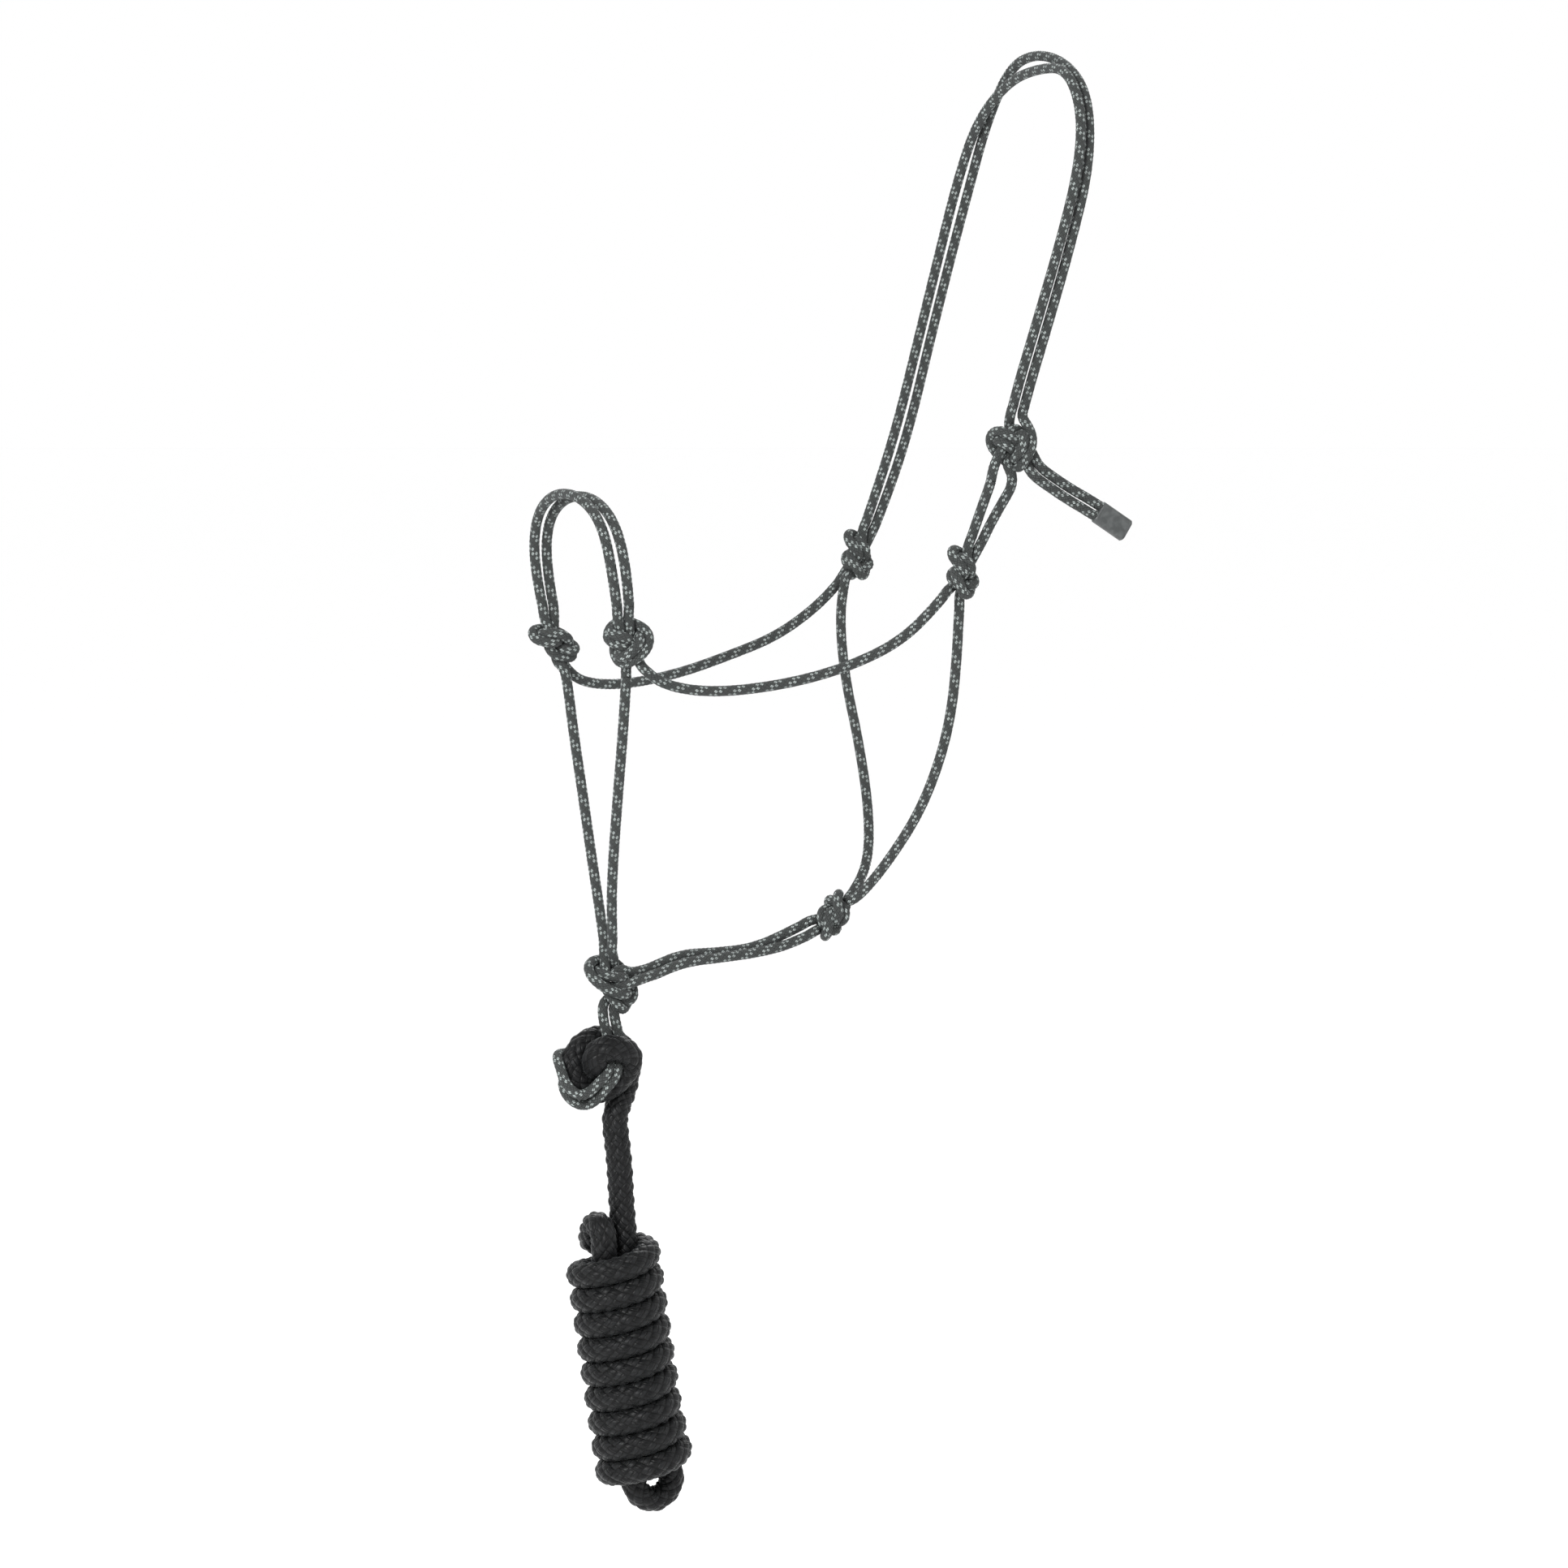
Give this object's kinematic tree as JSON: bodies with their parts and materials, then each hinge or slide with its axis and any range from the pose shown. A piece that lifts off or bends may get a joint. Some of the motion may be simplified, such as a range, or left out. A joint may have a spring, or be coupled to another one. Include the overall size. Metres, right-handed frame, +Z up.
{
  "type": "rope halter",
  "caption": "Knotted rope halter with a doubled crown and noseband, tied on the near side, with a thick braided lead rope hitched under the chin and wound into a hank.",
  "frame": {"origin": "where the underside of the crown rests on the poll, in the middle plane of the head", "axes": "+Z up, -X towards the nose, -Y towards the near (left) side of the head"},
  "size_m": [0.3417, 0.1907, 0.8987],
  "materials": {
    "halter_cord": "tight round braid of black yarn with pale grey flecks",
    "tail_sleeve": "dull dark grey bonded sleeve",
    "lead_rope": "thick round braid of black yarn with faint grey flecks"
  },
  "bodies": {
    "headstall": {"cheek_knot_off": "halter_cord", "cheek_knot_near": "halter_cord", "nose_knot_off": "halter_cord", "nose_knot_near": "halter_cord", "throat_knot": "halter_cord", "chin_knot": "halter_cord", "cheek_strand_off": "halter_cord", "cheek_strand_near": "halter_cord", "throat_strand_off": "halter_cord", "throat_strand_near": "halter_cord", "jaw_strand_upper": "halter_cord", "jaw_strand_lower": "halter_cord", "chin_strand_off": "halter_cord", "chin_strand_near": "halter_cord"},
    "noseband": {"noseband_front_strand": "halter_cord", "noseband_rear_strand": "halter_cord"},
    "crown": {"crown_front_strand": "halter_cord", "crown_rear_strand": "halter_cord", "tie_knot": "halter_cord", "tie_loop_front": "halter_cord", "tie_loop_rear": "halter_cord"},
    "tail": {"tail_upper": "halter_cord", "tail_lower": "halter_cord", "tail_end_sleeve": "tail_sleeve"},
    "chin_loop": {"chin_loop_front": "halter_cord", "chin_loop_rear": "halter_cord", "chin_loop_turn_upper": "halter_cord", "chin_loop_turn_lower": "halter_cord", "lead_hitch": "lead_rope"},
    "lead": {"lead_standing_part": "lead_rope"},
    "hank": {"hank_top_bight": "lead_rope", "hank_turns": "lead_rope", "hank_bottom_bight": "lead_rope"}
  },
  "joints": [
    {"name": "crown_swing", "type": "hinge", "parent": "headstall", "child": "crown", "pos_m": [-0.088, 0.08, -0.298], "axis": [0.0437, 0.9981, 0.0437], "range_deg": [-35, 60]},
    {"name": "noseband_swing", "type": "hinge", "parent": "headstall", "child": "noseband", "pos_m": [-0.307, 0.053, -0.348], "axis": [-0.0189, 0.9991, -0.0377], "range_deg": [-50, 50]},
    {"name": "tail_swing", "type": "hinge", "parent": "crown", "child": "tail", "pos_m": [-0.064, -0.084, -0.229], "axis": [0, 1, 0], "range_deg": [-50, 35]},
    {"name": "chin_loop_swing", "type": "hinge", "parent": "headstall", "child": "chin_loop", "pos_m": [-0.291, 0, -0.553], "axis": [0, 1, 0], "range_deg": [-50, 50]},
    {"name": "lead_side_swing", "type": "hinge", "parent": "chin_loop", "child": "lead", "pos_m": [-0.2934, 0, -0.612], "axis": [1, 0, 0], "range_deg": [-50, 50]},
    {"name": "hank_twist", "type": "hinge", "parent": "lead", "child": "hank", "pos_m": [-0.2847, 0, -0.7142], "axis": [-0.0912, 0, 0.9958], "range_deg": [-90, 90]}
  ]
}
